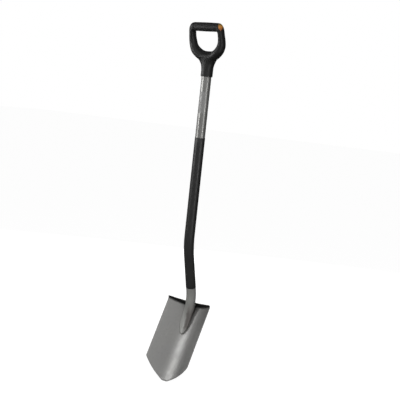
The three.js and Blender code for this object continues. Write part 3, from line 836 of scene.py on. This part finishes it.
def straight(top, bottom, steps):
    """Stations down the straight upper shaft."""
    return [Station(SHAFT_Y, z, 0) for z in evenly(top, bottom, steps)]


def make_shaft():
    plain = straight(shaft_top, sleeve_top, 6) + bend_stations
    rings = [oval_ring(s, 0) for s in plain] + [toe_ring(s) for s in curve_stations + toe_stations()]
    shaft = loft("shaft_surface", rings)
    finish_piece(shaft, silver_lacquer(), "silver_lacquer", "shaft_tube")


def make_sleeve():
    """The coating: a thin skin round the shaft, with softly rounded ends."""
    stations = straight(sleeve_top, bend_stations[0].z, 12)[:-1] + bend_stations
    last = bend_stations[-1]
    length = math.dist((last.y, last.z), (sleeve_end.y, sleeve_end.z))
    stations += [last.onward(length * share) for share in evenly(0, 1, 6)[1:]]
    lips = [stations[0].onward(SLEEVE_LIP), stations[-1].onward(-SLEEVE_LIP)]
    inner = [oval_ring(s, SLEEVE_GAP) for s in stations]
    full = SLEEVE_GAP + SLEEVE_THICKNESS
    half_way = SLEEVE_GAP + SLEEVE_LIP_SHARE * SLEEVE_THICKNESS
    outer = [oval_ring(stations[0], half_way), oval_ring(lips[0], full)]
    outer += [oval_ring(s, full) for s in stations[1:-1]]
    outer += [oval_ring(lips[1], full), oval_ring(stations[-1], half_way)]
    sleeve = loft("sleeve_skin", outer + inner[::-1], loop=True)
    finish_piece(sleeve, black_sleeve(), "black_sleeve", "shaft_sleeve", sharp=radians(60))


# ---- The handle, inlay and welds: CAD solids, remeshed and melted -----------------------------------


def solid_copy(name, node):
    """A new object with a CAD node's mesh, its split corners merged."""
    bm = bmesh.new()
    bm.from_mesh(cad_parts[node].data)
    bmesh.ops.remove_doubles(bm, verts=bm.verts, dist=MERGE_DISTANCE)
    bmesh.ops.recalc_face_normals(bm, faces=bm.faces)
    mesh = bpy.data.meshes.new(name)
    bm.to_mesh(mesh)
    bm.free()
    return link(name, mesh)


def remoulded(name, node, voxel_mm, passes):
    """A CAD solid remeshed finely, with its facets and creases melted into soft roundings."""
    obj = solid_copy(name, node)
    remesh = obj.modifiers.new("remesh", "REMESH")
    remesh.mode = "VOXEL"
    remesh.voxel_size = voxel_mm * MM
    melt = obj.modifiers.new("melt", "SMOOTH")
    melt.factor = 0.5
    melt.iterations = passes
    return evaluated(obj)


def make_handle():
    handle = remoulded("handle_moulding", "handle_body", voxel_mm=0.9, passes=14)
    finish_piece(handle, black_plastic(), "black_plastic", "handle_body", sharp=radians(70))


def make_inlay():
    inlay = remoulded("corner_insert", "corner_inlay", voxel_mm=0.35, passes=8)
    finish_piece(inlay, orange_plastic(), "orange_plastic", "corner_inlay", sharp=radians(70))


def toe_course():
    """Points of the line that the toe's bead follows, across and up the blade, with their distances."""
    turns = evenly(0, pi, 120)
    points = [Vector((TOE_HALF_WIDTH * cos(t), TOE_END + TOE_ROUND * (1 - sin(t)))) for t in turns]
    lengths = [0.0]
    for a, b in zip(points, points[1:]):
        lengths.append(lengths[-1] + (b - a).length)
    return list(zip(points, lengths))


def along_toe(course, point):
    """How far along the toe's bead a point lies."""
    flat = Vector((point.x, in_blade(point.y, point.z)[1]))
    return min(course, key=lambda station: (station[0] - flat).length)[1]


def make_bead(node, material, distance):
    """A weld bead with the ripples of its passes; distance says how far along it a point lies."""
    bead = remoulded(node + "_bead", node, voxel_mm=0.25, passes=1)
    vertices = bead.data.vertices
    dips = [BEAD_DIP * abs(sin(pi * distance(v.co / MM) / BEAD_PITCH)) for v in vertices]
    moved = [v.co - dip * MM * v.normal for v, dip in zip(vertices, dips)]
    for vertex, place in zip(vertices, moved):
        vertex.co = place
    finish_piece(bead, material, "weld_bead", node, sharp=radians(70))


def make_welds():
    material = weld_bead_metal()
    course = toe_course()
    make_bead("toe_weld", material, lambda point: along_toe(course, point))
    for node in ("tread_weld_left", "tread_weld_right"):
        make_bead(node, material, lambda point: point.y)


# ---- Turned pieces and the label -------------------------------------------------------------------


def turned(name, profile, centre, axis, steps=96, loop=False):
    """A solid of revolution about an axis through centre, from points (radius, distance along)."""
    turn = Vector((0, 0, 1)).rotation_difference(axis).to_matrix()
    turns = evenly(0, 2 * pi, steps)[1:]
    rings = [[centre + turn @ Vector((r * cos(t), r * sin(t), z)) for t in turns] for r, z in profile]
    return loft(name, rings, loop)


def make_grip():
    """The soft cover: a slightly barrelled sleeve with rounded ends."""
    low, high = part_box("grip_cover")
    half = (high.x - low.x) / MM / 2
    middle_radius = (high.z - low.z) / MM / 2
    edge = half - GRIP_EDGE
    barrel = [
        (middle_radius - (middle_radius - GRIP_END_RADIUS) * share**2, share * edge)
        for share in evenly(-1, 1, 40)
    ]
    rounding = [
        (GRIP_END_RADIUS - GRIP_EDGE * (1 - cos(t)), edge + GRIP_EDGE * sin(t))
        for t in evenly(0, pi / 2, 6)[1:]
    ]
    start = [(radius, -place) for radius, place in reversed(rounding)]
    profile = [(GRIP_BORE, -half)] + start + barrel + rounding + [(GRIP_BORE, half)]
    grip = turned("grip_skin", profile, (low + high) / 2 / MM, Vector((1, 0, 0)), loop=True)
    finish_piece(grip, soft_grip(), "soft_grip", "grip_cover", sharp=radians(50))


def cross_outline():
    """The corners of a cross recess, arm by arm."""
    reach, half = RECESS_REACH, RECESS_HALF_WIDTH
    arm = [Vector((reach, -half)), Vector((reach, half)), Vector((half, half))]
    return [Matrix.Rotation(quarter * pi / 2, 2) @ corner for quarter in range(4) for corner in arm]


def make_screw(node, material):
    """A domed screw with a cross recess, pointing forward into the collar."""
    low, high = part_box(node)
    radius = (high.x - low.x) / MM / 2
    length = (high.y - low.y) / MM - SCREW_HEAD_HEIGHT
    seat = Vector((0, high.y / MM - SCREW_HEAD_HEIGHT, (low.z + high.z) / MM / 2))
    dome = SCREW_HEAD_HEIGHT - SCREW_HEAD_RIM
    profile = [(SCREW_POINT_SHARE * SCREW_SHANK, -length), (SCREW_SHANK, SCREW_POINT - length)]
    profile += [(SCREW_SHANK, 0), (radius, 0)]
    profile += [(radius * cos(t), SCREW_HEAD_RIM + dome * sin(t)) for t in evenly(0, SCREW_DOME, 10)]
    screw = turned(node + "_head", profile, seat, Vector((0, 1, 0)), steps=48)
    top = seat.y + SCREW_HEAD_HEIGHT
    depths = (top - RECESS_DEPTH, top + RECESS_START)
    rings = [[Vector((p.x, depth, seat.z + p.y)) for p in cross_outline()] for depth in depths]
    cut(screw, loft("recess", rings))
    finish_piece(screw, material, "screw_steel", node, sharp=radians(30))


def make_label():
    """A thin film round the front of the upper shaft."""
    low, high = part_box("shaft_label")
    bottom, top = (Station(SHAFT_Y, z / MM, 0) for z in (low.z, high.z))
    inner, outer = LABEL_GAP, LABEL_GAP + LABEL_THICKNESS
    corners = [(top, outer), (bottom, outer), (bottom, inner), (top, inner)]
    front = -pi / 2
    turns = evenly(front - LABEL_HALF_ANGLE, front + LABEL_HALF_ANGLE, LABEL_STEPS)
    rings = [[oval_point(station, grow, t) for station, grow in corners] for t in turns]
    finish_piece(loft("label_skin", rings), label_film(), "label_film", "shaft_label")


def main():
    bpy.context.scene.view_settings.view_transform = "Standard"
    make_blade()
    make_shaft()
    make_sleeve()
    make_handle()
    make_inlay()
    make_grip()
    make_label()
    make_welds()
    zinc = screw_steel()
    for node in ("handle_screw_upper", "handle_screw_lower"):
        make_screw(node, zinc)
    make_floor()
    make_world()
    make_lights()
    make_camera()


main()
